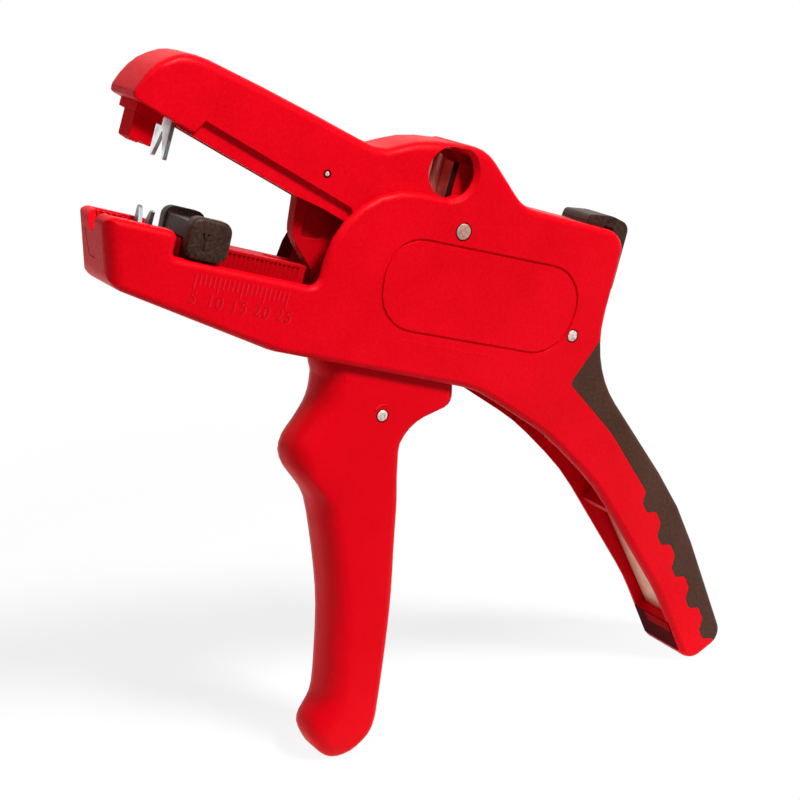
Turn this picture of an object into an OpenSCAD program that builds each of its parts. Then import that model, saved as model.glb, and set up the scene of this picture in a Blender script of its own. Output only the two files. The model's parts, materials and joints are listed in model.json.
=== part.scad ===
// Automatic wire stripper standing on its two handle ends, jaws toward -X.
// Each shape is drawn in the tool's own frame: X runs back along the jaws, Z is up,
// Y is the thickness, and the origin is on the axis of the main pin.
// The scale is on the -Y side. Every length is in millimetres.

/* [Main sizes] */
// Distance from the main pin to the front of the jaws
jaw_reach = 75.6; // [72:0.2:80]
// Distance from the main pin back to the end of the handle
handle_reach = 99.9; // [97:0.1:104]
// Distance from the main pin down to the end of the trigger lever
lever_reach = 114.4; // [112:0.1:118]

/* [Body] */
// Overall thickness of the body across the tool
body_w = 15.5; // [15:0.1:17]
// Thickness of the body walls beside the jaw and the trigger
wall = 1.3; // [1.1:0.1:1.6]
// Rounding of the body's outer edges
edge_r = 1.5; // [0.8:0.1:1.6]
// Depth of the groove round the plain oval panel
groove_depth = 0.35; // [0.2:0.05:0.6]
// Thickness of the soft layer on the handle
grip_t = 1.3; // [1:0.1:1.8]

/* [Fits] */
// Gap at each side between parts that slide or swing past each other
side_gap = 0.3; // [0.25:0.05:0.4]
// Radial clearance of a bore that turns on its pin
pin_clearance = 0.05; // [0.02:0.01:0.1]

/* [Jaws and linkage] */
// Radius of the main pin that carries the jaw and the trigger
main_pin_r = 1.8; // [1.6:0.1:2]
// Radius of the rivet in the trigger lever
lever_rivet_r = 1.2; // [1:0.1:1.4]
// Radius of the rivet at the back of the body
body_rivet_r = 1.35; // [1.1:0.05:1.6]
// Radius of the small pin in the upper jaw
jaw_pin_r = 0.85; // [0.7:0.05:1]
// Radius of the pin that pulls the blade carriers
draw_pin_r = 1.2; // [1:0.1:1.4]
// Thickness of the strut between the trigger and the upper jaw
strut_t = 2.6; // [2.2:0.1:2.8]

/* [Blades] */
// Thickness of the two stripping blades
blade_t = 0.8; // [0.6:0.1:0.8]
// Depth of the notch in each stripping blade
blade_notch = 4.9; // [4:0.1:5.4]

/* [Length stop] */
// Length of the stop along the jaw
stop_len = 8.8; // [7.5:0.1:8.9]
// Height of the ears above the low edge of the body
ear_h = 8; // [6:0.5:8.5]

/* [Hidden] */
$fn = 40;
front = -jaw_reach;
handle_more = handle_reach - 99.9;
lever_more = lever_reach - 114.4;
half_w = body_w / 2;
pocket = half_w - wall;
jaw_half = pocket - side_gap;
rebate_half = jaw_half - 0.95;
channel_half = 4;
carrier_half = channel_half - side_gap;
strut_half = strut_t / 2;
low_inner = half_w - 1.5;
pin_half = half_w - 0.1;
arc_step = 15;
handle_inner = half_w - 1.8;

lever_rivet_at = [-6, -40];
jaw_pin_at = [-32.7, 4.5];
body_rivet_at = [33.4, -15.8];
draw_pin_at = [-1, -10.3];
hole_at = [-5.7, 10.7];
hole_r = 5.1;
low_edge = -17.2;
rail_top = -13.9;
rail_half = 4.4;
stop_front = front + 17.5;

// Outlines of the body, the grip, the jaw and the lever.
// Each outline lists few corners as x, z and the radius that rounds the corner.

body_corners = [
    [front, -12.5, 1.7], [front + 15.3, -12.5, 1.7], [front + 15.3, low_edge, 0.9], [-28.9, low_edge, 2.2],
    [-28.9, 5.1, 17.5], [-4.9, 5.7, 0.4], [-4.9, 16.9, 1.6], [1.1, 16.9, 9],
    [13.1, 7.7, 9], [40.4, 7.6, 4.5], [40.7, -8, 30], [41.3, -21.3, 24],
    [76, -47.9, 90], [handle_reach, -77 - handle_more, 3.8],
    [handle_reach - 8.3, -85 - handle_more, 4.2], [77.5, -69.3, 60],
    [51, -46.8, 60], [35, -38, 50], [14, -31.1, 25], [-35, -31.2, 12], [front + 4.4, -25.2, 4.5]
];

grip_step = [6.75, -6.85];
grip_corners = concat(
    [[44, -13, 1], [40.6, -15.9, 3], [36.3, -25.9, 1.2], [51, -34.8, 30], [64.8, -46.1, 0.8]],
    [for (i = [0:4], p = [[0.1, -2.7, 1], [2, -4.7, 1], [4.6, -4.2, 1], [6.75, -6.6, 1]])
        if (!(i == 4 && p[0] > 6)) [64.8 + grip_step[0] * i + p[0], -46.1 + grip_step[1] * i + p[1], p[2]]],
    [[104, -83, 1], [104, -60, 1]]);

jaw_stations = [
    // x, bottom, top, half width, top edge radius
    [front + 0.5, 9.75, 10.5, 5.4, 0.35], [front + 0.7, 9.3, 11.1, 5.8, 0.7],
    [front + 1.4, 9, 12.8, 6.1, 1.1], [front + 2.6, 8.7, 15, 6.15, 1.4],
    [front + 4, 8.3, 16.7, 6.15, 1.6], [front + 5.6, 7.85, 17.95, 6.15, 1.8],
    [front + 7.4, 7.4, 18.95, 6.15, 1.9], [front + 9, 7, 19.4, 6.15, 1.9],
    [front + 11, 6.5, 19.6, 6.15, 1.9], [front + 13.6, 5.8, 19.4, 6.15, 1.9],
    [-49.8, 2.6, 17.2, 6.15, 1.9], [-37.3, -0.6, 14.7, 6.15, 1.9], [-27, -3.3, 12.5, 6.15, 1.9],
    [-23.5, -4.2, 11.9, 6.15, 1.9], [-20.5, -4.9, 12.2, 6.15, 1.9], [-17.5, -5.5, 13.6, 6.15, 1.9],
    [-14.1, -6, 15, 6.15, 1.9], [-10, -6.5, 16, 6.15, 1.9], [-5.3, -6.9, 16.6, 6.15, 1.9]
];

lever_stations = [
    // z, front, back, half width, front edge radius, back edge radius
    [-27, -20.5, 7.5, 5.2, 2, 1.2], [-28, -21.6, 8.2, 5.8, 3.4, 1.6], [-32.4, -21.5, 9.7, 5.85, 4.2, 1.8],
    [-34.5, -20.4, 10, 5.85, 4.4, 1.8], [-36.2, -20, 8.9, 5.9, 4.5, 1.8],
    [-38.9, -19.7, 4.7, 5.95, 4.5, 1.8],
    [-41.6, -20, 2.1, 6, 4.5, 1.8], [-45.3, -21.2, 0.6, 6.1, 4.5, 1.8], [-48.9, -22.6, 1.2, 6.2, 4.5, 1.8],
    [-52.3, -22.5, 2, 6.3, 4.5, 1.8], [-55.2, -20.5, 2.9, 6.3, 4.5, 1.8], [-58, -16.9, 3.7, 6.3, 4.5, 1.8],
    [-61, -13.9, 4.4, 6.3, 4.5, 1.8], [-67.7, -10.5, 6, 6.3, 4.5, 1.8], [-75.8, -6.9, 8, 6.3, 4.5, 1.8],
    [-83.7, -4, 9.6, 6.3, 4.5, 1.8], [-93.9, -1.4, 11.3, 6.3, 4.5, 1.8], [-100.8, 0, 12.3, 6.3, 4.5, 1.8],
    [-104, -0.2, 12.8, 6.3, 4.5, 2], [-107, -1.2, 12.8, 6.2, 4.5, 2.2], [-109.6, -1.1, 12, 6, 4.3, 2.6],
    [-112.2, 0.9, 10.2, 5.4, 3.6, 2.6], [-113.9, 3.2, 7.8, 4.3, 2, 1.8], [-114.4, 4.6, 6.6, 3.2, 0.9, 0.9]
];

// The grip of the lever stretches below the finger stop; every value runs smoothly from row to row.
lever_rows = [for (s = lever_stations)
    concat([s[0] + lever_more * min(0, s[0] + 61) / 53.4], [for (k = [1:5]) s[k]])];
function between(t, i, f) =
    let (a = t[max(i - 1, 0)], b = t[i], c = t[i + 1], d = t[min(i + 2, len(t) - 1)])
    b + ((c - a) * f + (2 * a - 5 * b + 4 * c - d) * f * f + (3 * b - a - 3 * c + d) * f * f * f) / 2;
lever_skin = concat(
    [for (i = [0:len(lever_rows) - 2], f = [0, 0.5]) between(lever_rows, i, f)],
    [lever_rows[len(lever_rows) - 1]]);

// The tool leans so that the lowest points of the lever and of the handle share one floor.

function turn(p, a) = [p[0] * cos(a) + p[1] * sin(a), -p[0] * sin(a) + p[1] * cos(a)];
lever_low = [5.6, -lever_reach];
handle_low = [handle_reach - 7.7, -83.35 - handle_more];
tilt = atan2(handle_low[1] - lever_low[1], handle_low[0] - lever_low[0]);
body_world = [for (p = smooth(body_corners)) turn(p, tilt)];
jaw_world = [for (s = jaw_stations) turn([s[0], s[2]], tilt)];
lever_world = [for (s = lever_rows, k = [1, 2]) turn([s[k], s[0]], tilt)];
floor_z = min([for (p = concat(body_world, lever_world)) p[1]]);
left_x = min([for (p = concat(body_world, jaw_world)) p[0]]);
right_x = max([for (p = body_world) p[0]]);

module place() {
    translate([-(left_x + right_x) / 2, 0, -floor_z])
        rotate([0, tilt, 0]) children();
}

function unit(v) = v / norm(v);
function spin(v, a) = [v[0] * cos(a) - v[1] * sin(a), v[0] * sin(a) + v[1] * cos(a)];

// The arc that rounds corner b between its neighbours a and c.
function fillet(a, b, c, r, step) =
    let (u = unit([a[0] - b[0], a[1] - b[1]]),
         v = unit([c[0] - b[0], c[1] - b[1]]),
         half = acos(max(-1, min(1, u * v))) / 2,
         centre = [b[0], b[1]] + unit(u + v) * r / sin(half),
         first = [b[0], b[1]] + u * r / tan(half) - centre,
         sweep = (180 - 2 * half) * sign(v[0] * u[1] - v[1] * u[0]),
         n = max(1, ceil((180 - 2 * half) / step)))
    [for (i = [0:n]) centre + spin(first, sweep * i / n)];

function smooth(corners, step = arc_step) =
    let (n = len(corners))
    [for (i = [0:n - 1])
        each corners[i][2] < 0.05
            ? [[corners[i][0], corners[i][1]]]
            : fillet(corners[(i + n - 1) % n], corners[i], corners[(i + 1) % n], corners[i][2],
                     corners[i][2] > 20 ? step / 2 : step)];

// Moves a closed clockwise outline inward by d along its corner normals.
function inset(pts, d) =
    let (n = len(pts))
    [for (i = [0:n - 1])
        let (e = unit(pts[i] - pts[(i + n - 1) % n]),
             f = unit(pts[(i + 1) % n] - pts[i]),
             p = [e[1], -e[0]],
             q = [f[1], -f[0]],
             m = unit(p + q))
        pts[i] + m * d / max(0.4, m * p)];

function area2(a, b, c) = (b[0] - a[0]) * (c[1] - a[1]) - (b[1] - a[1]) * (c[0] - a[0]);

// True where corner b of a clockwise outline can be cut off as the triangle a, b, c.
function is_ear(pts, left, a, b, c) =
    area2(pts[a], pts[b], pts[c]) < -0.0000001 &&
    len([for (i = left)
        if (i != a && i != b && i != c && area2(pts[a], pts[b], pts[i]) <= 0 &&
            area2(pts[b], pts[c], pts[i]) <= 0 && area2(pts[c], pts[a], pts[i]) <= 0) i]) == 0;

// Cuts a clockwise outline into triangles, one corner after another.
function clip_ears(pts, left, i) =
    let (n = len(left), a = left[i % n], b = left[(i + 1) % n], c = left[(i + 2) % n])
    n == 3 ? [left] :
    is_ear(pts, left, a, b, c)
        ? concat([[a, b, c]], clip_ears(pts, [for (k = left) if (k != b) k], i + 1))
        : clip_ears(pts, left, i + 1);

// A plate with rounded edges, drawn in the XZ plane and centred on Y.
module pillow(pts, half, r, steps = 3) {
    n = len(pts);
    side = [for (k = [0:steps]) [r * (1 - sin(90 * k / steps)), -half + r * (1 - cos(90 * k / steps))]];
    layers = concat(side, [for (k = [steps:-1:0]) [side[k][0], -side[k][1]]]);
    rows = len(layers);
    points = [for (l = layers, p = inset(pts, l[0])) [p[0], l[1], p[1]]];
    cap = clip_ears(inset(pts, r), [for (i = [0:n - 1]) i], 0);
    faces = concat(
        cap,
        [for (t = cap) [for (k = [2:-1:0]) (rows - 1) * n + t[k]]],
        [for (k = [0:rows - 2], i = [0:n - 1])
            each [[k * n + i, (k + 1) * n + (i + 1) % n, k * n + (i + 1) % n],
                  [k * n + i, (k + 1) * n + i, (k + 1) * n + (i + 1) % n]]]);
    polyhedron(points, faces, convexity = 10);
}

// A flat plate drawn in the XZ plane between two values of Y.
module plate(pts, y0, y1) {
    translate([0, y1, 0]) rotate([90, 0, 0]) linear_extrude(y1 - y0) polygon(pts);
}

module both_sides(y0, y1, pts) {
    plate(pts, y0, y1);
    plate(pts, -y1, -y0);
}

module pin(at, r, half) {
    translate([at[0], half, at[1]]) rotate([90, 0, 0]) cylinder(r = r, h = 2 * half);
}

module ring(at, r, y0, y1) {
    translate([at[0], y1, at[1]]) rotate([90, 0, 0]) cylinder(r = r, h = y1 - y0);
}

module block(x0, x1, half, z0, z1) {
    translate([x0, -half, z0]) cube([x1 - x0, 2 * half, z1 - z0]);
}

// A quarter circle of corner points, from angle a to a + 90.
function quarter(c, r, a, n) = [for (i = [0:n]) c + r * [cos(a + 90 * i / n), sin(a + 90 * i / n)]];

function rounded(x0, x1, y, r0, r1) = concat(
    quarter([x1 - r1, y - r1], r1, 0, 3), quarter([x0 + r0, y - r0], r0, 90, 3),
    quarter([x0 + r0, -y + r0], r0, 180, 3), quarter([x1 - r1, -y + r1], r1, 270, 3));

module skin(rings) {
    n = len(rings[0]);
    rows = len(rings);
    faces = concat(
        [[for (i = [0:n - 1]) i]],
        [[for (i = [n - 1:-1:0]) (rows - 1) * n + i]],
        [for (k = [0:rows - 2], i = [0:n - 1])
            each [[k * n + (i + 1) % n, k * n + i, (k + 1) * n + i],
                  [k * n + (i + 1) % n, (k + 1) * n + i, (k + 1) * n + (i + 1) % n]]]);
    polyhedron([for (s = rings) each s], faces, convexity = 8);
}

// Straight-line value of a station table at position t.
function level(table, t, k, i = 0) =
    i >= len(table) - 2 || (table[i + 1][0] - t) * (table[0][0] - t) <= 0
        ? table[i][k] + (table[i + 1][k] - table[i][k])
            * (t - table[i][0]) / (table[i + 1][0] - table[i][0])
        : level(table, t, k, i + 1);

body_outline = smooth(body_corners);
grip_region = smooth(grip_corners);
oval_corners = [[-16.5, -3.3, 8.2], [33.5, -2, 8.2], [31.5, -21.2, 9], [-14.5, -22.4, 9]];

module body_solid() {
    pillow(body_outline, half_w, edge_r);
}

// The handle's own outline under the soft layer, cut off well ahead of it.
core_corners = concat([for (i = [9:17]) body_corners[i]], [[20, -33.07, 3.5], [20, 7.7, 3.5]]);

module grip_core() {
    pillow(inset(smooth(core_corners), grip_t), half_w - grip_t, edge_r);
}

// Everything that the soft layer takes away from the handle.
module grip_zone() {
    plate(grip_region, -half_w - 2, half_w + 2);
}

module body_hollow() {
    // front of the lower jaw, where the clamp insert and the blade carrier sit
    plate([[front + 2, -5], [front + 2.2, -12.7], [front + 5.4, -21.9], [front + 8, -21.9],
           [front + 8, -23.9], [front + 15.7, -25.2], [front + 15.7, -5]], -4.6, 4.6);
    // the long channel below the stop, open upward
    plate([[front + 15.6, -5], [front + 15.6, -25.2], [-36, -29], [-27.5, -29], [-27.5, -5]],
          -low_inner, low_inner);
    // the pocket round the jaw's root and the trigger
    plate([[-34, 20], [-34, -12], [-29, -20], [-29, -29], [-26.5, -29], [-26.5, -40], [32, -44],
           [38.3, -30], [38.6, -10], [38.4, 5.8], [13.4, 5.8], [11.4, 6.6], [0.4, 15], [-7, 15], [-7, 20]],
          -pocket, pocket);
    // the channel of the handle, open toward the lever
    plate([[30, -46], [30, -28], [38.6, -22], [42.3, -25.6], [56.5, -36.3], [75, -51.3],
           [82.4, -59.7], [90.2 + handle_more, -69.4 - handle_more],
           [83.4 + handle_more, -75.6 - handle_more], [70, -82]], -handle_inner, handle_inner);
}

module cross_ribs() {
    // ribs across the handle; their front ends stay behind the open edge
    for (r = [[[36.5, -36.2], [40.6, -24]], [[45.5, -41.2], [50.5, -30.6]], [[59.3, -52.6], [66, -43.7]]]) {
        d = unit(r[1] - r[0]);
        w = [d[1], -d[0]] * 0.8;
        plate([r[0] - w, r[1] - w, r[1] + w, r[0] + w], -handle_inner - 0.1, handle_inner + 0.1);
    }
    // seat behind the return spring
    plate([[29.2, -24.8], [28, -16.2], [29.1, -16], [30.3, -24.6]], -pocket - 0.1, pocket + 0.1);
    // sleeve for the rear rivet
    ring(body_rivet_at, 3.6, -pocket - 0.1, pocket + 0.1);
}

module nose_rounding() {
    // rounds the two upright edges of the nose
    for (s = [0, 1]) mirror([0, s, 0])
        translate([front, 0, -12.5]) rotate([0, -19.1, 0]) translate([0, 0, -20])
            linear_extrude(26) difference() {
                translate([-2, half_w - 3]) square([5, 5]);
                translate([3, half_w - 3]) circle(r = 3);
            }
}

module body_frame() {
    color([0.88, 0.06, 0.1]) difference() {
        union() {
            difference() {
                body_solid();
                body_hollow();
            }
            cross_ribs();
        }
        difference() {
            grip_zone();
            grip_core();
        }
        nose_rounding();
        // wire notch in the front of the nose
        translate([front - 4.4, 0, 0]) rotate([90, 0, 90])
            linear_extrude(7)
                polygon([[-2.4, -10], [-2.4, -12.4], [-1.2, -16.1],
                         [1.2, -16.1], [2.4, -12.4], [2.4, -10]]);
        // the body's half of the round opening of the wire cutter
        pin(hole_at, hole_r, half_w + 1);
        pin([0, 0], main_pin_r, half_w + 1);
        pin(body_rivet_at, body_rivet_r, half_w + 1);
        // softened rim of that opening, on both sides
        for (s = [0, 1]) mirror([0, s, 0])
            translate([hole_at[0], 0.9 - half_w, hole_at[1]]) rotate([90, 0, 0])
                cylinder(r1 = hole_r, r2 = hole_r + 1, h = 1);
        // slot in the top wall for the neck of the depth adjuster
        block(32.3, 38.3, 2.3, 5, 9);
        // seats of the leaf spring in the rib and in the end block
        leaf_shape(0.05);
        // groove round the plain panel, on both sides
        for (s = [-1, 1]) {
            outer = smooth(oval_corners);
            inner = inset(outer, 0.5);
            y = s * half_w;
            difference() {
                plate(outer, y - groove_depth, y + groove_depth);
                plate(inner, y - 1, y + 1);
            }
        }
    }
}

module handle_grip() {
    color([0.26, 0.18, 0.14]) difference() {
        intersection() {
            body_solid();
            grip_zone();
        }
        grip_core();
    }
}

module main_pin() {
    color([0.8, 0.76, 0.74]) pin([0, 0], main_pin_r, pin_half);
}

module body_rivet() {
    color([0.85, 0.82, 0.8]) domed_pin(body_rivet_at, body_rivet_r, pin_half);
}

module domed_pin(at, r, half) {
    translate([at[0], 0, at[1]]) rotate([90, 0, 0]) rotate_extrude()
        polygon([[0, -half], [r * 0.5, -half + 0.08], [r * 0.85, -half + 0.25], [r, -half + 0.5],
                 [r, half - 0.5], [r * 0.85, half - 0.25], [r * 0.5, half - 0.08], [0, half]]);
}

module lower_clamp_insert() {
    color([0.7, 0.05, 0.08]) difference() {
        plate([[front + 2.2, -12.7], [front + 5.4, -21.9], [front + 7.9, -21.9],
               [front + 7.9, -12.7]], -4.6, 4.6);
        // wire channel with cross grooves that hold the cable
        translate([front + 1.6, 0, -12]) rotate([90, 0, 90])
            linear_extrude(7)
                polygon([[-1.9, 1], [-1.9, -1], [-0.8, -2.6], [0.8, -2.6], [1.9, -1], [1.9, 1]]);
        for (i = [0:3]) block(front + 3 + 1.3 * i, front + 3.5 + 1.3 * i, 3.6, -13.2, -12);
    }
}

module stop_rail() {
    color([0.85, 0.1, 0.12]) difference() {
        union() {
            block(front + 17.2, -30.9, rail_half, -18.9, rail_top);
            block(front + 17.2, -30.9, low_inner, -20.1, -18.9);
        }
        // detent teeth on both sides
        for (i = [0:25], s = [-1, 1])
            translate([front + 18 + i, s * rail_half, -17.6]) rotate([0, 0, 45])
                translate([-0.3, -0.3, 0]) cube([0.6, 0.6, 3.1]);
        // slot that lets the strut swing through
        block(-38.5, -30, strut_half + side_gap, -21, -13);
    }
}

// Steel strip that lies behind the open edge of the handle.
leaf_line = [[61.4, -49.13], [86.2 + handle_more, -74.9 - handle_more]];
module leaf_shape(extra) {
    d = unit(leaf_line[1] - leaf_line[0]);
    n = [-d[1], d[0]] * (0.4 + extra);
    a = leaf_line[0];
    b = leaf_line[1];
    plate([a - n, b - n, b + n, a + n], -4.8 - extra, 4.8 + extra);
}

module handle_leaf_spring() {
    color([0.8, 0.68, 0.6]) leaf_shape(0);
}

// Coil spring that pushes the trigger forward.
spring_from = [8, -23.5];
spring_to = [28.6, -20.4];
module return_spring() {
    axis = spring_to - spring_from;
    turns = 6.5;
    steps = turns * 10;
    rad = 3;
    wire = 0.45;
    dirx = unit(axis);
    side = [-dirx[1], dirx[0]];
    centre = [for (k = [0:steps])
        let (t = k / steps, a = 360 * turns * t, c = spring_from + dirx * (0.9 + (norm(axis) - 1.8) * t))
        [c[0] + side[0] * rad * cos(a), rad * sin(a), c[1] + side[1] * rad * cos(a)]];
    color([0.75, 0.75, 0.77]) skin([for (k = [0:steps])
        let (a = 360 * turns * k / steps,
             out = [side[0] * cos(a), sin(a), side[1] * cos(a)],
             along = [dirx[0], 0, dirx[1]])
        [for (j = [0:7]) centre[k] + wire * (out * cos(45 * j) + along * sin(45 * j))]]);
}

module lever_solid() {
    last = len(lever_skin) - 1;
    skin([for (k = [last:-1:0])
        let (s = lever_skin[k])
        [for (p = rounded(s[1], s[2], s[3], min(s[4], s[3] - 0.1), s[5])) [p[0], p[1], s[0]]]]);
}

module trigger_lever() {
    color([0.88, 0.06, 0.1]) difference() {
        union() {
            lever_solid();
            // arm that reaches up to the main pin
            plate([[-7, -29], [-6.8, -17.2], [8, -17.2], [8.2, -29]], -3.6, 3.6);
            plate([[-6.6, -18], [-5, -3], [5, -3], [7.6, -18]], -strut_half, strut_half);
            ring([0, 0], 5, -3.6, 3.6);
            // head above the pin, with a flat front that backs the cutter blade
            plate([[-4.6, 1], [-3.9, 5], [-3.9, 13], [-1.2, 13], [3.4, 9.4], [4.9, 1]], -3.6, 3.6);
        }
        pin([0, 0], main_pin_r + pin_clearance, 8);
        pin(lever_rivet_at, lever_rivet_r, 8);
        pin(draw_pin_at, draw_pin_r, 8);
        // slot for the strut
        plate([[-9.5, -44.5], [-13.5, -40], [-21, -26], [-21, -16],
               [-6.9, -16], [-6.9, -29], [-1.6, -40], [-2.5, -44.5]],
              -strut_half - side_gap, strut_half + side_gap);
        // pockets between the ribs at the back of the lever
        for (i = [0:11]) {
            z0 = -50.5 - 4.7 * i;
            z1 = z0 - 3.7;
            front = [for (z = [z0, z1]) level(lever_rows, z, 1) + 4.2];
            back = [for (z = [z0, z1]) level(lever_rows, z, 2) + 3];
            plate([[front[0], z0], [back[0], z0], [back[1], z1], [front[1], z1]], -4.1, 4.1);
        }
        // seat for the moving cutter blade
        plate(trigger_blade_shape(), 0.1, 1.3);
    }
}

module lever_rivet() {
    color([0.85, 0.82, 0.8]) domed_pin(lever_rivet_at, lever_rivet_r, 5.95);
}

module draw_pin() {
    color([0.75, 0.75, 0.77]) pin(draw_pin_at, draw_pin_r, 3.7);
}

function trigger_blade_shape() = [[-6.3, 6.2], [-6.6, 13.2], [-5.6, 14], [0, 12], [0.6, 7], [-2, 5.4]];
function jaw_blade_shape() = [[-15.6, 6.6], [-15.6, 12.6], [-9.4, 13.4], [-9.1, 6.4]];

module trigger_cutter_blade() {
    color([0.72, 0.73, 0.74]) plate(trigger_blade_shape(), 0.1, 1.3);
}

module jaw_strut() {
    // runs from the lever rivet up to the slot that rides on the jaw pin
    up = unit(jaw_pin_at - lever_rivet_at);
    side = [-up[1], up[0]];
    top = jaw_pin_at + up * 6.75;
    low = lever_rivet_at;
    tip_r = jaw_pin_r + 1.25;
    color([0.85, 0.08, 0.1]) difference() {
        plate(smooth([
            [for (v = top + (up + side) * tip_r) v, tip_r - 0.05],
            [-35.2, -1, 6], [-34.2, -9, 6], [-25.5, -17, 12],
            [for (v = low + (side - up) * 2.9) v, 2.8],
            [for (v = low - (side + up) * 2.9) v, 2.8],
            [-20.5, -7, 30],
            [for (v = top + (up - side) * tip_r) v, tip_r - 0.05]]),
            -strut_half, strut_half);
        pin(lever_rivet_at, lever_rivet_r + pin_clearance, 4);
        // slot for the jaw pin
        w = jaw_pin_r + 0.25;
        plate([for (p = concat(
            [for (a = [0:15:180]) jaw_pin_at - up * 0.3 + w * (-side * cos(a) - up * sin(a))],
            [for (a = [0:15:180]) top + w * (side * cos(a) + up * sin(a))])) p], -4, 4);
        // three-cornered pockets that lighten the strut
        for (s = [-1, 1])
            plate(smooth([[-32.4, -2.5, 0.6], [-32.2, -9, 0.8], [-26.8, -8.2, 0.8]]),
                  s > 0 ? 0.6 : -4, s > 0 ? 4 : -0.6);
    }
}

module jaw_solid() {
    skin([for (s = jaw_stations)
        let (r = s[4], low = 0.5, y = min(s[3], jaw_half))
        [for (p = concat(
            quarter([s[2] - r, y - r], r, 0, 3), quarter([s[1] + low, y - low], low, 90, 2),
            quarter([s[1] + low, -y + low], low, 180, 2), quarter([s[2] - r, -y + r], r, 270, 3)))
            [s[0], -p[1], p[0]]]]);
}

module upper_jaw() {
    color([0.88, 0.06, 0.1]) difference() {
        union() {
            jaw_solid();
            ring([0, 0], 6.9, -jaw_half, jaw_half);
        }
        // rebate on both sides, so that the lower band runs between the body walls
        both_sides(rebate_half, 9, [[front + 12.5, 4], [front + 15.4, 8.5], [-25.6, -0.7], [-23.5, -4],
                                    [-23.5, -12], [front + 9.6, -12], [front + 9.6, 4]]);
        // seat of the clamp insert
        plate([[front + 2.3, 0], [front + 2.3, 11.5], [front + 8, 11.5], [front + 8, 0]], -4, 4);
        // long channel for the upper blade carrier
        plate([[front + 8.7, -15], [front + 8.7, 15.6], [front + 15.6, 16.2], [-25, 9.6],
               [-20, 9], [-12, 9], [-12, -15]], -channel_half, channel_half);
        // slot in the ceiling for the tip of the strut
        plate([[-41, 9], [-39.5, 12.9], [-33.5, 12.7], [-31, 9]],
              -strut_half - side_gap, strut_half + side_gap);
        // round hollow in which the head of the trigger turns
        pin([0, 0], 14.4, channel_half);
        pin([0, 0], main_pin_r + pin_clearance, 8);
        pin(hole_at, hole_r, 8);
        pin(jaw_pin_at, jaw_pin_r, 8);
        plate(jaw_blade_shape(), -1.2, 0);
    }
}

module jaw_pin() {
    color([0.85, 0.82, 0.8]) pin(jaw_pin_at, jaw_pin_r, jaw_half - 0.05);
}

module upper_clamp_insert() {
    color([0.7, 0.05, 0.08]) difference() {
        union() {
            // flange that sits in the jaw
            plate([[front + 2.3, 7.1], [front + 2.3, 11.5], [front + 8, 11.5], [front + 8, 5.6]], -4, 4);
            // block with two biting edges
            plate([[front + 2.9, 9], [front + 7.5, 9], [front + 7.5, 1.4], [front + 7.3, 1.25],
                   [front + 5.1, 2], [front + 4.7, 1.4], [front + 3.2, 1.9], [front + 2.9, 2.2]], -2.6, 2.6);
        }
        // shallow wire channel
        translate([front + 2.6, 0, 1]) rotate([90, 0, 90])
            linear_extrude(7) polygon([[-1, -1], [0, 0.9], [1, -1]]);
    }
}

module jaw_cutter_blade() {
    color([0.72, 0.73, 0.74]) plate(jaw_blade_shape(), -1.2, 0);
}

upper_blade_x = front + 10.2;
upper_blade_half = 3.2;
lower_blade_x = front + 10.5;
lower_blade_half = 3.4;

// A forked blade in the YZ plane, with its two points away from the root.
// A fine slit runs round its edge, where its two layers meet.
module forked_blade(x, half, root, tip) {
    d = tip > root ? 1 : -1;
    for (layer = [[0, 0.42, 0], [0.4, 0.55, 0.12], [0.53, 1, 0]]) {
        h = half - layer[2];
        t = tip - d * layer[2];
        translate([x + blade_t * layer[0], 0, 0]) rotate([90, 0, 90])
            linear_extrude(blade_t * (layer[1] - layer[0])) polygon([
                [-h, root], [h, root], [h, t - d * 0.3], [h - 0.2, t], [h - 0.8, t - d * 0.3],
                [0.2, t - d * blade_notch], [-0.2, t - d * blade_notch],
                [0.8 - h, t - d * 0.3], [0.2 - h, t], [-h, t - d * 0.3]]);
    }
}

module upper_blade_carrier() {
    color([0.3, 0.3, 0.31]) difference() {
        union() {
            block(upper_blade_x - 1.2, upper_blade_x + 4.8, carrier_half, 7.2, 13.4);
            // two side bars that reach back to the draw pin
            both_sides(2.8, 3.6, [
                [upper_blade_x + 3.4, 13], [upper_blade_x + 3.4, 7.6], [upper_blade_x + 7.4, 5.4],
                [-24.4, -3.4], [-3.6, -12.2], [-3, -13.2], [1.2, -13.2], [2.1, -6.7], [-3, -6.7],
                [-23.5, -1.3], [upper_blade_x + 11.4, 6.6], [upper_blade_x + 7.8, 9],
                [upper_blade_x + 4.8, 13]]);
        }
        translate([upper_blade_x, -upper_blade_half, 6]) cube([blade_t, 2 * upper_blade_half, 6]);
        both_sides(2, 5, [[-2.77, -12.2], [0.05, -12.2], [0.95, -7.7], [-1.87, -7.7]]);
    }
}

module upper_stripping_blade() {
    color([0.86, 0.87, 0.87]) forked_blade(upper_blade_x, upper_blade_half, 12, -0.5);
}

module lower_blade_carrier() {
    color([0.3, 0.3, 0.31]) difference() {
        union() {
            block(lower_blade_x - 2.1, lower_blade_x + 1.7, 4.3, -21.9, -13.4);
            block(lower_blade_x - 2.1, -40, 4.3, -23.6, -20.5);
            // two side bars that rise to the draw pin
            both_sides(strut_half + 0.3, strut_half + 1.1,
                [[-42, -23.6], [-30, -22.4], [-4, -13.6], [1.1, -13.2],
                 [1.1, -7.4], [-3.4, -7.4], [-30.2, -20.4], [-42, -20.5]]);
        }
        translate([lower_blade_x, -lower_blade_half, -20]) cube([blade_t, 2 * lower_blade_half, 8]);
        both_sides(1, 4, [[-2.35, -12.3], [0.35, -12.3], [0.35, -8.3], [-2.35, -8.3]]);
    }
}

module lower_stripping_blade() {
    color([0.5, 0.51, 0.52]) forked_blade(lower_blade_x, lower_blade_half, -20, -10);
}

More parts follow.
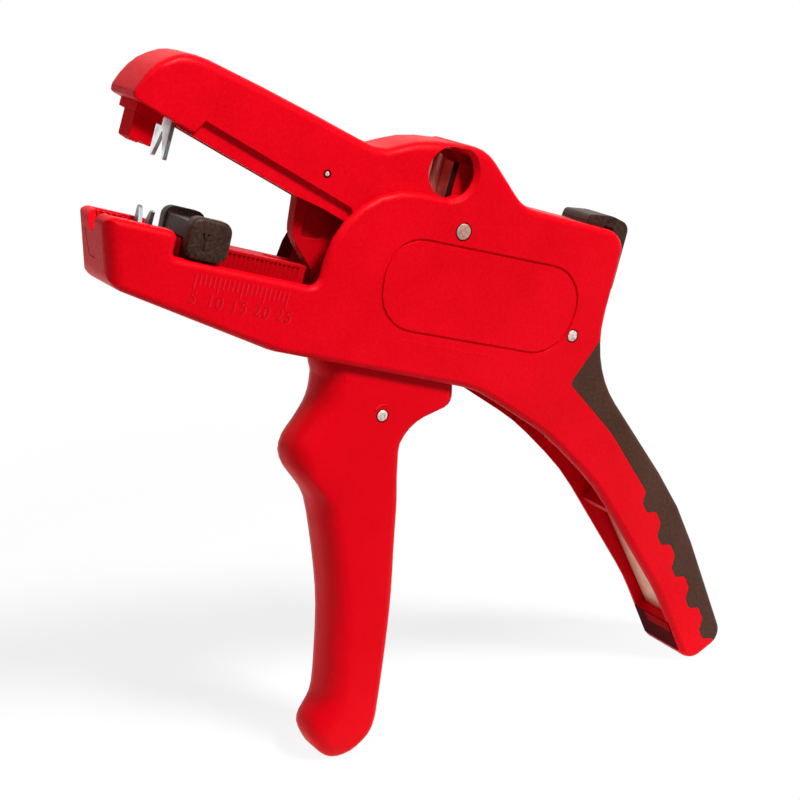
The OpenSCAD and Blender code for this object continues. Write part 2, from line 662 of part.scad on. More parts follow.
module length_stop() {
    x0 = stop_front;
    x1 = stop_front + stop_len;
    foot = low_edge + side_gap;
    ear = smooth([[x0, foot, 1.8], [x0 - 0.4, foot + ear_h, 2],
                  [x1 - 0.4, foot + ear_h, 2.2], [x1, foot, 2.4]]);
    color([0.2, 0.14, 0.12]) difference() {
        union() {
            intersection() {
                both_sides(5.2, half_w - 0.05, ear);
                pillow(ear, half_w - 0.05, 0.8);
            }
            // bridge across the rail, which meets the wire end
            block(x0 + 0.2, x1 - 2.4, 5.6, rail_top + side_gap, rail_top + 3.6);
            // legs beside the rail
            for (s = [-1, 1])
                translate([x0 + 0.2, s > 0 ? rail_half + side_gap : -low_inner + side_gap, -18.6])
                    cube([stop_len - 2.6, low_inner - rail_half - 2 * side_gap, 8]);
        }
        // engraved pointer
        translate([stop_front + 3, -half_w, -13.4]) rotate([90, 0, 0]) translate([0, 0, -0.3])
            linear_extrude(1) polygon([[-0.8, 1.7], [-0.4, 1.7], [0, 0.6], [0.4, 1.7], [0.8, 1.7],
                                       [0.2, 0.1], [0.2, -1.7], [-0.2, -1.7], [-0.2, 0.1]]);
        // slot at the back of the bridge, where the strut stands when the stop is pushed right back
        block(x0 + 2.6, x1 + 1, strut_half + side_gap, rail_top, rail_top + 5);
        // seat of the detent spring in one leg
        translate([x0 + 1, 4.6, -17.4]) cube([4.6, 0.38, 2.8]);
    }
}

module stop_detent_spring() {
    x0 = stop_front;
    color([0.75, 0.75, 0.77]) translate([0, 0, -17.3]) linear_extrude(2.6) polygon([
        [x0 + 1.1, 4.98], [x0 + 5.5, 4.98], [x0 + 5.5, 4.78], [x0 + 3.9, 4.78],
        [x0 + 3.5, 4.48], [x0 + 3.1, 4.78], [x0 + 1.1, 4.78]]);
}

module depth_adjuster() {
    cap = smooth([[31, 8, 0.3], [31.4, 9.7, 1], [37.5, 10.5, 6], [42.3, 9.6, 2.2], [42.5, -4.8, 0.6],
                  [41.1, -4.8, 0.3], [41, 4.2, 4.6], [38, 8, 0.3]]);
    color([0.24, 0.17, 0.14]) union() {
        pillow(cap, 4.7, 0.25, 2);
        block(32.6, 35, 2, 5.2, 8.3);
    }
}

module adjuster_catch() {
    color([0.3, 0.3, 0.31]) block(31.4, 35, 3.4, 3.6, 5.2);
}

place() body_frame();
place() handle_grip();
place() main_pin();
place() body_rivet();
place() lower_clamp_insert();
place() stop_rail();
place() handle_leaf_spring();
place() return_spring();
place() trigger_lever();
place() lever_rivet();
place() draw_pin();
place() trigger_cutter_blade();
place() jaw_strut();
place() upper_jaw();
place() jaw_pin();
place() upper_clamp_insert();
place() jaw_cutter_blade();
place() upper_blade_carrier();
place() upper_stripping_blade();
place() lower_blade_carrier();
place() lower_stripping_blade();
place() length_stop();
place() stop_detent_spring();
place() depth_adjuster();
place() adjuster_catch();
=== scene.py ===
import json
import math

import bpy
from mathutils import Matrix, Vector


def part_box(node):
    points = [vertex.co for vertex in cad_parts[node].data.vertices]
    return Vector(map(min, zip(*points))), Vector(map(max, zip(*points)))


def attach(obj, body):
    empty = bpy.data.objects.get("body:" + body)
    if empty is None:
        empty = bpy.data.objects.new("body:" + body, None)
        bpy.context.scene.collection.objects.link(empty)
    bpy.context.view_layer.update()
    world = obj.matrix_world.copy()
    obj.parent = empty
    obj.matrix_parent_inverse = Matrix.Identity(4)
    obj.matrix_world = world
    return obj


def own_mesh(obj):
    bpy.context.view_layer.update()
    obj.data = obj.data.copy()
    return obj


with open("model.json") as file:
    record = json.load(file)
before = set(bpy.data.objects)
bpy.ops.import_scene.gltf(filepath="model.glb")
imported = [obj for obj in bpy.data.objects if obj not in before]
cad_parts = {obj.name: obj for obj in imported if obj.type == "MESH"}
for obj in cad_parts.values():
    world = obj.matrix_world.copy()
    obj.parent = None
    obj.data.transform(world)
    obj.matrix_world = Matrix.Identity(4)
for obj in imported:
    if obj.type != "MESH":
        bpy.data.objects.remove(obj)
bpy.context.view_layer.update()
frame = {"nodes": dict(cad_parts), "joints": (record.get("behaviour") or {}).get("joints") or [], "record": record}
nodes = frame["nodes"]

# The tool's own frame, in millimetres: X runs back along the jaws, Z is up, and the main pin is the origin.
along = Vector(next(j for j in frame["joints"] if j["name"] == "stop_slide")["axis"]).normalized()
up = Vector((-along.z, 0, along.x))
pin_low, pin_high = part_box("main_pin")
pin_centre = (pin_low + pin_high) / 2
lean = math.atan2(-along.z, along.x)


def place(x, y, z):
    """A point of the tool's own frame, in metres of the row frame."""
    return pin_centre + (along * x + Vector((0, y, 0)) + up * z) / 1000


# Camera

# The photograph was fitted with the tool leaning by this angle and the main pin at this place,
# in millimetres from the point that the camera looks at.
fitted_lean = math.radians(17.57)
fitted_pin = Vector((10.445, 0.26, 35.608))
azimuth = math.radians(29.594)
elevation = math.radians(16.902)
distance = 405.593
focal_pixels = 1966.457
picture_width = 800
sensor_width = 36

forward = Vector((math.sin(azimuth) * math.cos(elevation), math.cos(azimuth) * math.cos(elevation),
                  -math.sin(elevation)))
right = Vector((math.cos(azimuth), -math.sin(azimuth), 0))
turn = Matrix.Rotation(lean - fitted_lean, 3, "Y")
eye = pin_centre + turn @ (-forward * distance - fitted_pin) / 1000
axes = Matrix((turn @ right, turn @ right.cross(forward), turn @ -forward)).transposed()

camera = bpy.data.objects.new("camera", bpy.data.cameras.new("camera"))
camera.data.sensor_width = sensor_width
camera.data.lens = sensor_width * focal_pixels / picture_width
camera.data.clip_start = 0.01
camera.matrix_world = Matrix.Translation(eye) @ axes.to_4x4()
bpy.context.scene.collection.objects.link(camera)
bpy.context.scene.camera = camera


# Materials

def colour(hex_code):
    """An sRGB hex colour as linear red, green, blue and alpha."""
    parts = [int(hex_code[i:i + 2], 16) / 255 for i in (1, 3, 5)]
    return [p / 12.92 if p <= 0.04045 else ((p + 0.055) / 1.055) ** 2.4 for p in parts] + [1]


def add(tree, kind, inputs={}, **settings):
    """One node with its settings; each input is a value or the socket that feeds it."""
    node = tree.nodes.new(kind)
    for name, value in settings.items():
        setattr(node, name, value)
    for name, value in inputs.items():
        if isinstance(value, bpy.types.NodeSocket):
            tree.links.new(value, node.inputs[name])
        else:
            node.inputs[name].default_value = value
    return node


def new_material(name):
    """A material with nothing in its tree yet, and that tree."""
    material = bpy.data.materials.new(name)
    material.use_nodes = True
    material.node_tree.nodes.clear()
    return material, material.node_tree


def per_mm(size):
    """Texture scale for a pattern that repeats every so many millimetres."""
    return 1000 / size


# Size of the clouds that the plastic's flow leaves, in millimetres.
flow_cloud_size = 14


def moulded_plastic(name, deep, lit, roughness, grain, depth, edge=0.3, shine=0.5, speckle=0.4):
    """Moulded plastic: spark-eroded grain in the surface, faint clouding from the flow, softened edges.

    The grain's size and depth and the edge's radius are in millimetres. Specks and clouds go from the
    deep towards the lit colour, and the pits of the grain vary the roughness.
    """
    material, tree = new_material(name)
    where = add(tree, "ShaderNodeTexCoord").outputs["Object"]
    flow = add(tree, "ShaderNodeTexNoise", {"Vector": where, "Scale": per_mm(flow_cloud_size), "Detail": 2,
                                            "Roughness": 0.55})
    speck = add(tree, "ShaderNodeTexNoise", {"Vector": where, "Scale": per_mm(grain * 1.4), "Detail": 3,
                                             "Roughness": 0.6})
    cloud = add(tree, "ShaderNodeMapRange", {"Value": flow.outputs["Fac"], "From Min": 0.3, "From Max": 0.7,
                                             "To Min": 0, "To Max": 0.45})
    fleck = add(tree, "ShaderNodeMapRange", {"Value": speck.outputs["Fac"], "From Min": 0.38,
                                             "From Max": 0.66, "To Min": 0, "To Max": speckle})
    mottle = add(tree, "ShaderNodeMath", {0: fleck.outputs["Result"], 1: cloud.outputs["Result"]},
                 operation="ADD")
    tint = add(tree, "ShaderNodeMix", {0: mottle.outputs[0], 6: colour(deep), 7: colour(lit)},
               data_type="RGBA")
    pits = add(tree, "ShaderNodeTexNoise", {"Vector": where, "Scale": per_mm(grain), "Detail": 2,
                                            "Roughness": 0.6})
    sheen = add(tree, "ShaderNodeMapRange", {"Value": pits.outputs["Fac"], "From Min": 0.3, "From Max": 0.7,
                                             "To Min": roughness - 0.05, "To Max": roughness + 0.07})
    edges = add(tree, "ShaderNodeBevel", {"Radius": edge / 1000}, samples=4)
    bump = add(tree, "ShaderNodeBump", {"Height": pits.outputs["Fac"], "Strength": 0.5,
                                        "Distance": depth / 1000, "Normal": edges.outputs["Normal"]})
    shader = add(tree, "ShaderNodeBsdfPrincipled", {
        "Base Color": tint.outputs[2], "Roughness": sheen.outputs["Result"], "Normal": bump.outputs["Normal"],
        "IOR": 1.5, "Specular IOR Level": shine})
    add(tree, "ShaderNodeOutputMaterial", {"Surface": shader.outputs[0]})
    return material


# Radius of the softened edges of steel parts, in millimetres.
steel_edge = 0.1


def worked_steel(name, dark, light, roughness, streak, direction, stain_size, depth, metal=1):
    """Steel with the marks of its grinding, rolling or tumbling, and faint stains.

    The marks' width and depth and the stains' size are in millimetres. The direction is a factor for
    each axis: the marks are streaks along the axes with a small factor, and nicks where all are 1.
    """
    material, tree = new_material(name)
    where = add(tree, "ShaderNodeTexCoord").outputs["Object"]
    stretch = add(tree, "ShaderNodeMapping", {"Vector": where, "Scale": direction})
    marks = add(tree, "ShaderNodeTexNoise", {"Vector": stretch.outputs[0], "Scale": per_mm(streak),
                                             "Detail": 3})
    stain = add(tree, "ShaderNodeTexNoise", {"Vector": where, "Scale": per_mm(stain_size), "Detail": 3})
    patch = add(tree, "ShaderNodeMapRange", {"Value": stain.outputs["Fac"], "From Min": 0.38,
                                             "From Max": 0.55})
    tint = add(tree, "ShaderNodeMix", {0: patch.outputs["Result"], 6: colour(dark), 7: colour(light)},
               data_type="RGBA")
    sheen = add(tree, "ShaderNodeMapRange", {"Value": marks.outputs["Fac"], "From Min": 0.3, "From Max": 0.7,
                                             "To Min": roughness - 0.07, "To Max": roughness + 0.1})
    edges = add(tree, "ShaderNodeBevel", {"Radius": steel_edge / 1000}, samples=4)
    bump = add(tree, "ShaderNodeBump", {"Height": marks.outputs["Fac"], "Strength": 0.4,
                                        "Distance": depth / 1000, "Normal": edges.outputs["Normal"]})
    shader = add(tree, "ShaderNodeBsdfPrincipled", {
        "Base Color": tint.outputs[2], "Metallic": metal, "Roughness": sheen.outputs["Result"],
        "Normal": bump.outputs["Normal"]})
    add(tree, "ShaderNodeOutputMaterial", {"Surface": shader.outputs[0]})
    return material


# Red glass-filled polyamide: a deep even red with little shine, whose grain shows as fine lighter specks.
# The real grain is about 0.1 mm and is drawn at 0.5 mm, so that it shows at this size.
red_polyamide = moulded_plastic("red_moulded_polyamide", "#D60010", "#F2031C", roughness=0.38, grain=0.5,
                                depth=0.07, edge=0.15, shine=0.065)
# The lever's red: the same plastic from a smoother mould.
red_lever = moulded_plastic("red_smooth_polyamide", "#D8000F", "#E60218", roughness=0.42, grain=0.5,
                            depth=0.03, edge=0.4, shine=0.06, speckle=0.25)
# The same red inside the tool, rougher and darker: its darker colour is painted shade. It also paints the
# shade on the cutter's cheek and on the front end of the rib by the handle.
red_inner = moulded_plastic("red_dull_shaded_polyamide", "#BE000D", "#CE0213", roughness=0.5, grain=0.6, depth=0.07,
                            shine=0.07)
# The clamp inserts: the same red with a dry surface, which shows no haze on its front.
red_insert = moulded_plastic("red_dry_polyamide", "#D2000F", "#E20318", roughness=0.5, grain=0.5, depth=0.05,
                             shine=0.02)
# Thermoplastic elastomer over the handle: dark brown, soft and almost without gloss.
brown_elastomer = moulded_plastic("brown_moulded_elastomer", "#3F2419", "#5A3A2D", roughness=0.62, grain=0.5,
                                  depth=0.1, shine=0.2)
# Acetal of the stop and the adjuster: dark brown with a satin grain that scatters light spots.
brown_acetal = moulded_plastic("brown_satin_acetal", "#24120D", "#4E352B", roughness=0.46, grain=0.4,
                               depth=0.12, shine=0.22, speckle=0.6)
# Dark glass-filled plastic of the sliders inside.
grey_polyamide = moulded_plastic("grey_moulded_polyamide", "#232325", "#35363A", roughness=0.5, grain=0.5,
                                 depth=0.06)
# Engraved marks: the same red, seen in the shade of the groove.
engraved_red = moulded_plastic("red_engraved_polyamide", "#C0000E", "#CE0313", roughness=0.55, grain=0.5,
                               depth=0.04, edge=0.05, shine=0.1)
# The far side of each engraved groove, which the lamp strikes: the same red, a little lighter.
groove_red = moulded_plastic("red_lit_groove", "#F0142A", "#FC2238", roughness=0.5, grain=0.5, depth=0.04,
                             edge=0.05, shine=0.1)
# The narrow gap round a pin or along a seam, and the handle's recess: the same red in deep shade.
gap_red = moulded_plastic("red_shaded_gap", "#4A0205", "#5C0408", roughness=0.7, grain=0.4, depth=0.04,
                          edge=0.05, shine=0.03)
# The back of the throat, which lies in shade.
deep_red = moulded_plastic("red_shaded_inside", "#6E0007", "#7E010A", roughness=0.6, grain=0.6, depth=0.05,
                           shine=0.02)
# The block at the handle's end, half in shade.
block_red = moulded_plastic("red_half_shaded_block", "#96000A", "#A4020E", roughness=0.6, grain=0.6,
                            depth=0.05, shine=0.02)
# Painted shade: a near-black plate that stands for the shaded slit between the two parts of the cutter.
slit_shade_black = moulded_plastic("painted_slit_shade", "#260306", "#30050A", roughness=0.7, grain=0.4, depth=0.04,
                             edge=0.05, shine=0.1)

# Pins and rivets: tumbled to a pale matt surface with small darker nicks; their slight warmth is a painted
# reflection of the red around them.
tumbled_steel = worked_steel("tumbled_pin_steel", "#C9A092", "#FBE8DE", roughness=0.5, streak=0.4,
                             direction=(1, 1, 1), stain_size=0.6, depth=0.01, metal=0.3)
# The main pin's flat end: a duller, warmer grey; the warmth is a painted reflection of the red around it.
flat_pin_end_steel = worked_steel("flat_pin_end_steel_red_reflection", "#BC8A7B", "#DDAD9D", roughness=0.5, streak=0.4,
                          direction=(1, 1, 1), stain_size=0.8, depth=0.01, metal=0.45)
# Ground blades: pale and clean, with grinding marks across them.
ground_steel = worked_steel("ground_blade_steel", "#C9CFD0", "#F4F7F7", roughness=0.38, streak=0.25,
                            direction=(1, 1, 0.15), stain_size=3, depth=0.002)
# The lower blade: the same steel left dark from hardening.
dark_steel = worked_steel("hardened_blade_steel", "#6F7477", "#8E9497", roughness=0.42, streak=0.25,
                          direction=(1, 1, 0.15), stain_size=3, depth=0.002)
# The trigger's cutter blade and the face before it: steel tinted brownish red, which is a painted
# reflection of the red around them.
cutter_steel_red_reflection = worked_steel("cutter_steel_painted_red_reflection", "#F0A298", "#FAB0A6", roughness=0.5, streak=0.3,
                           direction=(1, 1, 0.2), stain_size=4, depth=0.002)
# Rolled strip and wire of the springs: satin; their warm tint is a painted reflection of the red beside them.
spring_steel = worked_steel("rolled_spring_steel", "#DDAE98", "#E6B8A2", roughness=0.5, streak=0.3,
                            direction=(0.15, 1, 0.15), stain_size=3, depth=0.003)

finishes = {
    "red_shell": red_polyamide, "red_inner": red_inner, "soft_grip": brown_elastomer,
    "brown_plastic": brown_acetal, "carrier_plastic": grey_polyamide, "pin_steel": tumbled_steel,
    "spring_steel": spring_steel, "blade_steel": ground_steel,
}
own_finish = {
    "trigger_lever": red_lever, "upper_clamp_insert": red_insert, "lower_clamp_insert": red_insert,
    "lower_stripping_blade": dark_steel, "trigger_cutter_blade": cutter_steel_red_reflection,
}


# Surfaces of the CAD nodes

def smooth_by_angle(limit):
    """A modifier tree that shades soft bends smooth and keeps edges sharper than the limit."""
    tree = bpy.data.node_groups.new("smooth_soft_bends", "GeometryNodeTree")
    tree.interface.new_socket("Geometry", in_out="INPUT", socket_type="NodeSocketGeometry")
    tree.interface.new_socket("Geometry", in_out="OUTPUT", socket_type="NodeSocketGeometry")
    start = add(tree, "NodeGroupInput")
    faces = add(tree, "GeometryNodeSetShadeSmooth", {"Geometry": start.outputs[0], "Shade Smooth": True},
                domain="FACE")
    bend = add(tree, "GeometryNodeInputMeshEdgeAngle")
    soft = add(tree, "FunctionNodeCompare", {"A": bend.outputs["Unsigned Angle"], "B": limit},
               data_type="FLOAT", operation="LESS_EQUAL")
    edges = add(tree, "GeometryNodeSetShadeSmooth",
                {"Geometry": faces.outputs[0], "Shade Smooth": soft.outputs[0]}, domain="EDGE")
    add(tree, "NodeGroupOutput", {"Geometry": edges.outputs[0]})
    return tree


# Edges that bend by more than this stay sharp.
softest_sharp_edge = math.radians(32)
weld_distance = 0.000002
soft_bends = smooth_by_angle(softest_sharp_edge)
slots = {s["node"]: s["material_slot"] for s in frame["record"]["subparts"]}
for name, piece in nodes.items():
    piece.data.materials.clear()
    piece.data.materials.append(own_finish.get(name, finishes[slots[name]]))
    weld = piece.modifiers.new("weld", "WELD")
    weld.merge_threshold = weld_distance
    piece.modifiers.new("smooth", "NODES").node_group = soft_bends
    even = piece.modifiers.new("even", "WEIGHTED_NORMAL")
    even.keep_sharp = True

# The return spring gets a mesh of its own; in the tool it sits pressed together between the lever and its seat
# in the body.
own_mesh(nodes["return_spring"])


# Kinds of added piece

def add_piece(name, verts, faces, material, body):
    """A mesh with one material that rides on a body.

    Its points come from place(); the functions below take millimetres of the tool's own frame.
    """
    mesh = bpy.data.meshes.new(name)
    mesh.from_pydata(verts, [], faces)
    mesh.update()
    mesh.materials.append(material)
    piece = bpy.data.objects.new(name, mesh)
    bpy.context.scene.collection.objects.link(piece)
    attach(piece, body)
    return piece


def plate(name, outline, near, far, material, body):
    """A flat piece with an outline of x, z, between a near and a far value of y."""
    n = len(outline)
    verts = [place(x, y, z) for y in (near, far) for x, z in outline]
    faces = [list(range(n)), list(range(2 * n - 1, n - 1, -1))]
    faces += [(k, n + k, n + (k + 1) % n, (k + 1) % n) for k in range(n)]
    add_piece(name, verts, faces, material, body)


def ridge(name, points, width, height, outward, material, body):
    """A thin raised line along points x, y, z; outward lifts its crest off the surface."""
    verts, faces = [], []
    lift = Vector(outward).normalized()
    for i, p in enumerate(points):
        before, after = Vector(points[max(i - 1, 0)]), Vector(points[min(i + 1, len(points) - 1)])
        across = (after - before).cross(lift).normalized() * width / 2
        for q in (Vector(p) - across, Vector(p) + lift * height, Vector(p) + across):
            verts.append(place(*q))
    for i in range(len(points) - 1):
        k = 3 * i
        faces += [(k, k + 1, k + 4, k + 3), (k + 1, k + 2, k + 5, k + 4)]
    add_piece(name, verts, faces, material, body)


def arc(x, z, r, y, start, end, steps=12):
    """Points x, y, z along an arc about x, z; its angles are in degrees, from the back turning up."""
    angles = [math.radians(start + (end - start) * k / steps) for k in range(steps + 1)]
    return [(x + r * math.cos(a), y, z + r * math.sin(a)) for a in angles]


def lathed(name, x, z, profile, material, body, slot_name, steps=40):
    """A turned shape about a line across the tool, with its mirror image; profile is radius and depth."""
    verts, faces = [], []
    angles = [math.tau * k / steps for k in range(steps)]
    for side in (-1, 1):
        first = len(verts)
        for r, y in profile:
            verts += [place(x + r * math.cos(a), side * y, z + r * math.sin(a)) for a in angles]
        for row in range(len(profile) - 1):
            inner = first + row * steps
            outer = inner + steps
            for k in range(steps):
                following = (k + 1) % steps
                face = [inner + k, inner + following, outer + following, outer + k]
                faces.append(face if side > 0 else face[::-1])
    piece = add_piece(name, verts, faces, material, body)
    for face in piece.data.polygons:
        face.use_smooth = True


# Length scale on the lower jaw

# The scale lies on the near side, and its marks run down from the line of their tops.
near_side = -7.75
tick_count = 21
first_tick_x = -55.1
tick_top = -19.2
short_tick_end = -21.3
long_tick_end = -22.3
tick_half_width = 0.15
tick_sunk = 0.05
number_height = 2.3
number_line = -24.0
number_places = (("5", -54.7), ("10", -50.0), ("15", -44.8), ("20", -39.8), ("25", -34.9))

# Height of a figure as a share of the font's size.
figure_share = 0.7


def tick_marks(name, shift, proud, material):
    """Thin bars one millimetre apart; every fifth is longer."""
    verts, faces = [], []
    for i in range(tick_count):
        x = first_tick_x + i + shift
        low = short_tick_end if i % 5 else long_tick_end
        corners = ((-tick_half_width, tick_top), (-tick_half_width, low),
                   (tick_half_width, low), (tick_half_width, tick_top))
        first = len(verts)
        for y in (near_side + tick_sunk, near_side - proud):
            verts += [place(x + dx, y, z) for dx, z in corners]
        faces += [[first + k for k in face] for face in
                  ((4, 5, 6, 7), (0, 1, 5, 4), (1, 2, 6, 5), (2, 3, 7, 6), (3, 0, 4, 7))]
    add_piece(name, verts, faces, material, "body")


def numeral(name, text, x, z, height, proud, material):
    """One number of the scale, laid on the near side; its strokes are 0.05 mm thicker on each side."""
    curve = bpy.data.curves.new(name, "FONT")
    curve.body = text
    curve.size = height / 1000 / figure_share
    curve.align_x = "CENTER"
    curve.align_y = "CENTER"
    curve.extrude = proud / 1000
    curve.offset = 0.00005
    curve.space_character = 1.2
    piece = bpy.data.objects.new(name, curve)
    bpy.context.scene.collection.objects.link(piece)
    side = Matrix((along, up, Vector((0, -1, 0)))).transposed().to_4x4()
    piece.matrix_world = Matrix.Translation(place(x, near_side, z)) @ side
    curve.materials.append(material)
    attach(piece, "body")


def scale_marks(ending, shift, proud, material):
    """All ticks and numbers once, moved back and a little down by the shift."""
    tick_marks("scale_ticks" + ending, shift, proud, material)
    for text, x in number_places:
        numeral("scale_number_" + text + ending, text, x + shift, number_line - shift / 3, number_height,
                proud, material)


# each mark is a dark groove with a lit far side, which shows as a thin line on its right
scale_marks("", shift=0, proud=0.03, material=engraved_red)
scale_marks("_lit_side", shift=0.16, proud=0.02, material=groove_red)


# Heads of the pins

# Distance from the tool's middle to the surfaces that the pins end in.
body_side = 7.75
lever_side = 5.99
jaw_side = 6.15

# Places of the pins, as x and z.
main_pin_place = (0, 0)
body_rivet_place = (33.4, -15.8)
lever_rivet_place = (-6, -40)
jaw_pin_place = (-32.7, 4.5)

# The main pin's flat end with its worn edge, as radius and distance from the middle.
flat_head = [(0.001, 7.8), (1.4, 7.8), (1.66, 7.74), (1.72, 7.6)]


def domed_head(r, rim, rise):
    """Profile of a rivet head that rises in the middle."""
    return [(0.001, rim + rise), (r * 0.5, rim + rise * 0.85), (r * 0.82, rim + rise * 0.5), (r * 0.97, rim),
            (r, rim - 0.15)]


def gap_round(r, side, width):
    """Profile of the thin ring of shade between a pin and its hole."""
    return [(r - 0.05, side + 0.01), (r + width, side + 0.01), (r + width, side - 0.1)]


def pin_end(name, pin_place, head, steel, gap, body):
    """The two ends of a pin, each with the gap round it."""
    lathed(name + "_head", *pin_place, head, steel, body, "pin_steel")
    lathed(name + "_gap", *pin_place, gap, gap_red, body, "red_inner")


pin_end("main_pin", main_pin_place, flat_head, flat_pin_end_steel, gap_round(1.7, body_side, width=0.2), "body")
pin_end("body_rivet", body_rivet_place, domed_head(1.28, rim=7.7, rise=0.15), tumbled_steel,
        gap_round(1.26, body_side, width=0.2), "body")
pin_end("lever_rivet", lever_rivet_place, domed_head(1.2, rim=6.0, rise=0.2), tumbled_steel,
        gap_round(1.18, lever_side, width=0.24), "trigger")
pin_end("jaw_pin", jaw_pin_place, domed_head(0.5, rim=6.13, rise=0.12), tumbled_steel,
        gap_round(0.5, jaw_side, width=0.36), "jaw")


# Small moulded details

off_near_side = (0, -1, 0)
off_the_nose = (-0.945, 0, -0.327)

# crescent over the lever's rivet, line under the plain panel, and the seam of the nose's wedge
crescent_points = arc(*lever_rivet_place, r=2.2, y=-5.97, start=155, end=75)
ridge("lever_crescent", crescent_points, width=0.5, height=0.12, outward=off_near_side,
      material=red_polyamide, body="trigger")
panel_line_points = [(-8, -7.74, -23.9), (5, -7.74, -23.9), (15.6, -7.74, -23.6)]
ridge("panel_line", panel_line_points, width=0.3, height=0.06, outward=off_near_side,
      material=red_polyamide, body="body")
seam_points = [(-74.29, 3.5, -16.3), (-72.65, 2, -21.05), (-72.6, -0.7, -21.2)]
ridge("nose_seam", seam_points, width=0.22, height=0.02, outward=off_the_nose,
      material=gap_red, body="body")

# lip along the lower edge of the jaw's near wall; each point is x, z and how far the lip hangs below it
lip_line = [(-66, 6.85, 0), (-64.5, 6.45, 0.5), (-62, 5.8, 0.5), (-49.8, 2.6, 0.5), (-37.3, -0.6, 0.5),
            (-31, -2.25, 0)]
lip_height = 0.6
lip_under = [(x, z - hang) for x, z, hang in lip_line]
lip_top = [(x, z + lip_height) for x, z, hang in reversed(lip_line)]
plate("jaw_lip", lip_under + lip_top, near=-5.22, far=-4.6, material=red_polyamide, body="jaw")

# foot under the front end of the adjuster
foot_outline = [(31.05, 7.72), (31.3, 8.4), (36, 8.4), (36, 7.72)]
plate("adjuster_foot", foot_outline, near=-4.6, far=4.6, material=brown_acetal, body="adjuster")

# web on the far wall of the throat; it stays outside the path of the stop's ear
web_outline = [(-28.6, -4.4), (-29.5, -6.8), (-30.3, -8.8), (-31, -10.9), (-31.6, -16), (-27, -16), (-26, -4)]
plate("throat_web", web_outline, near=7.72, far=7.8, material=deep_red, body="body")


# Shaded end of the handle

# The face runs down and back from this corner, where the handle's channel ends; its slope is given by
# the cosine and the sine, and plates on it are sunk in by this much.
end_corner_x = 83.2
end_corner_z = -75.7
end_cosine = 0.668
end_sine = 0.744
end_sunk = 0.3


def end_plate(name, near, far, start, stop, lift, material):
    """A thin plate on the end face, from start to stop along the face and standing off it by lift."""
    outline = [(end_corner_x + end_cosine * s - end_sine * d, end_corner_z - end_sine * s - end_cosine * d)
               for s, d in ((start, -end_sunk), (start, lift), (stop, lift), (stop, -end_sunk))]
    plate(name, outline, near, far, material, "body")


# the recess, the block in it, and the front end of the rib above
end_plate("handle_recess", near=-6.4, far=6.4, start=0.2, stop=8.4, lift=0.07, material=gap_red)
end_plate("handle_block", near=-6.4, far=2.3, start=0.1, stop=2.7, lift=0.2, material=block_red)
# the rib's front end is covered with the darker inner red, which paints the shade there
rib_outline = [(59.9, -53.15), (58.6, -52.15), (58.7, -52.05), (60, -53.05)]
plate("rib_front", rib_outline, near=-5.9, far=5.9, material=red_inner, body="body")


# Cutter's opening

# The front edge of the moving head, as x and z, and where its side ends at the back.
head_edge = [(-4.66, 1.2), (-3.96, 5), (-3.96, 13)]
head_back = 4.8

# Each face on the head is two quads, one above the other.
two_quads = [(0, 1, 3, 2), (2, 3, 5, 4)]


def cutter_side(name, start, stop, depth, material):
    """A face on the near side of the moving head, between two distances behind its front edge."""
    verts = [place(min(x + d, head_back), -depth, z) for x, z in head_edge for d in (start, stop)]
    add_piece(name, verts, two_quads, material, "trigger")


# a steel face on the front of the head, a near-black plate beside it that paints the shade of a slit, and a
# darker red plate that paints the shade on the side of the head
front_face = [place(x, y, z) for x, z in head_edge for y in (-3.62, -0.1)]
add_piece("cutter_face", front_face, two_quads, cutter_steel_red_reflection, "trigger")
cutter_side("cutter_slit_shade", start=-0.02, stop=1.3, depth=3.66, material=slit_shade_black)
cutter_side("cutter_cheek", start=1.3, stop=9.2, depth=3.64, material=red_inner)


# Floor, light and background

def background_rays(tree):
    """1 for rays that show the background itself: those of the camera, of mirrors and of glass."""
    path = add(tree, "ShaderNodeLightPath")
    seen = add(tree, "ShaderNodeMath", {0: path.outputs["Is Camera Ray"], 1: path.outputs["Is Glossy Ray"]},
               operation="MAXIMUM")
    return add(tree, "ShaderNodeMath", {0: seen.outputs[0], 1: path.outputs["Is Transmission Ray"]},
               operation="MAXIMUM").outputs[0]


# The tool's shadow falls round this place on the board, in metres. Up to shadow_near from it the board
# shows least_white of its plain white and takes the rest from the lamps; from shadow_far on it shows all.
shadow_centre = (0, 0.1, 0)
shadow_near = 0.07
shadow_far = 0.14
least_white = 0.8


def white_board():
    """Matt white board; away from the tool and its shadow it shows plain white, in mirrors as well."""
    material, tree = new_material("white_board")
    paint = add(tree, "ShaderNodeBsdfDiffuse", {"Color": colour("#F4F4F4")})
    glow = add(tree, "ShaderNodeEmission", {"Color": (1, 1, 1, 1), "Strength": 1})
    spot = add(tree, "ShaderNodeTexCoord").outputs["Object"]
    reach = add(tree, "ShaderNodeVectorMath", {0: spot, 1: shadow_centre}, operation="DISTANCE")
    fade = add(tree, "ShaderNodeMapRange", {"Value": reach.outputs["Value"], "From Min": shadow_near,
                                            "From Max": shadow_far, "To Min": least_white, "To Max": 1.0})
    share = add(tree, "ShaderNodeMath", {0: background_rays(tree), 1: fade.outputs["Result"]},
                operation="MULTIPLY")
    both = add(tree, "ShaderNodeMixShader", {0: share.outputs[0], 1: paint.outputs[0], 2: glow.outputs[0]})
    add(tree, "ShaderNodeOutputMaterial", {"Surface": both.outputs[0]})
    return material


# The board's front edge lies close before the tool, so that the two low lamps shine past it.
floor_front = -0.04
floor_reach = 3
floor_mesh = bpy.data.meshes.new("floor")
floor_mesh.from_pydata([(-floor_reach, floor_front, 0), (floor_reach, floor_front, 0),
                        (floor_reach, floor_reach, 0), (-floor_reach, floor_reach, 0)], [], [(0, 1, 2, 3)])
floor_mesh.materials.append(white_board())
floor = bpy.data.objects.new("floor", floor_mesh)
bpy.context.scene.collection.objects.link(floor)

# Brightness of the room in front of the tool as mirrors see it, and of the air as matt surfaces see it.
dim_room = 0.02
matt_light = 0.2


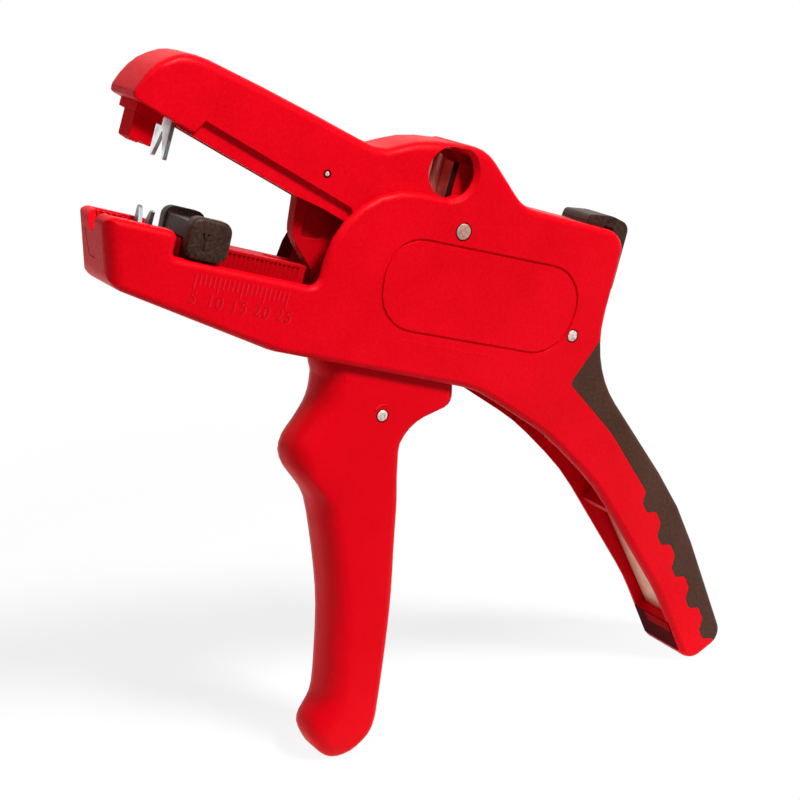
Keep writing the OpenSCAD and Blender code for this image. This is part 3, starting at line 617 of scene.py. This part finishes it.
def studio_world():
    """White backdrop behind the tool; mirrors that face the front see the dim room there instead.

    The heading's Y goes from -1 straight before the tool to 1 straight behind it.
    """
    world = bpy.data.worlds.new("studio")
    world.use_nodes = True
    sky = world.node_tree
    sky.nodes.clear()
    heading = add(sky, "ShaderNodeSeparateXYZ", {0: add(sky, "ShaderNodeTexCoord").outputs["Generated"]})
    backdrop = add(sky, "ShaderNodeMapRange", {"Value": heading.outputs["Y"], "From Min": -0.1,
                                               "From Max": 0.3, "To Min": dim_room, "To Max": 1.0})
    rays = add(sky, "ShaderNodeLightPath")
    mirrored = add(sky, "ShaderNodeMath", {0: rays.outputs["Is Glossy Ray"], 1: backdrop.outputs["Result"]},
                   operation="MULTIPLY")
    direct = add(sky, "ShaderNodeMath", {0: rays.outputs["Is Camera Ray"],
                                         1: rays.outputs["Is Transmission Ray"]}, operation="MAXIMUM")
    seen = add(sky, "ShaderNodeMath", {0: mirrored.outputs[0], 1: direct.outputs[0]}, operation="MAXIMUM")
    matt = add(sky, "ShaderNodeMath", {0: rays.outputs["Is Diffuse Ray"], 1: matt_light},
               operation="MULTIPLY")
    strength = add(sky, "ShaderNodeMath", {0: seen.outputs[0], 1: matt.outputs[0]}, operation="MAXIMUM")
    air = add(sky, "ShaderNodeBackground", {"Color": (1, 1, 1, 1), "Strength": strength.outputs[0]})
    add(sky, "ShaderNodeOutputWorld", {"Surface": air.outputs[0]})
    return world


bpy.context.scene.world = studio_world()

tool_middle = Vector((0, 0, 0.08))


def soft_lamp(name, where, size, power):
    """A square soft box that faces the middle of the tool."""
    light = bpy.data.lights.new(name, "AREA")
    light.size = size
    light.energy = power
    lamp = bpy.data.objects.new(name, light)
    lamp.location = where
    lamp.rotation_euler = (tool_middle - Vector(where)).to_track_quat("-Z", "Y").to_euler()
    bpy.context.scene.collection.objects.link(lamp)


# the main lamp high in front, a faint one low on the right, one high on the left, a faint one low in front,
# and one behind that lights the upper edges
soft_lamp("key", (0.32, -0.68, 0.98), size=0.25, power=17)
soft_lamp("side", (0.44, -0.35, -0.2), size=0.15, power=0.3)
soft_lamp("fill", (-0.7, -0.3, 1.0), size=0.35, power=1.3)
soft_lamp("card", (-0.15, -0.3, -0.28), size=0.3, power=0.15)
soft_lamp("rim", (0.1, 0.6, 0.8), size=0.5, power=0.9)

bpy.context.scene.view_settings.view_transform = "Standard"
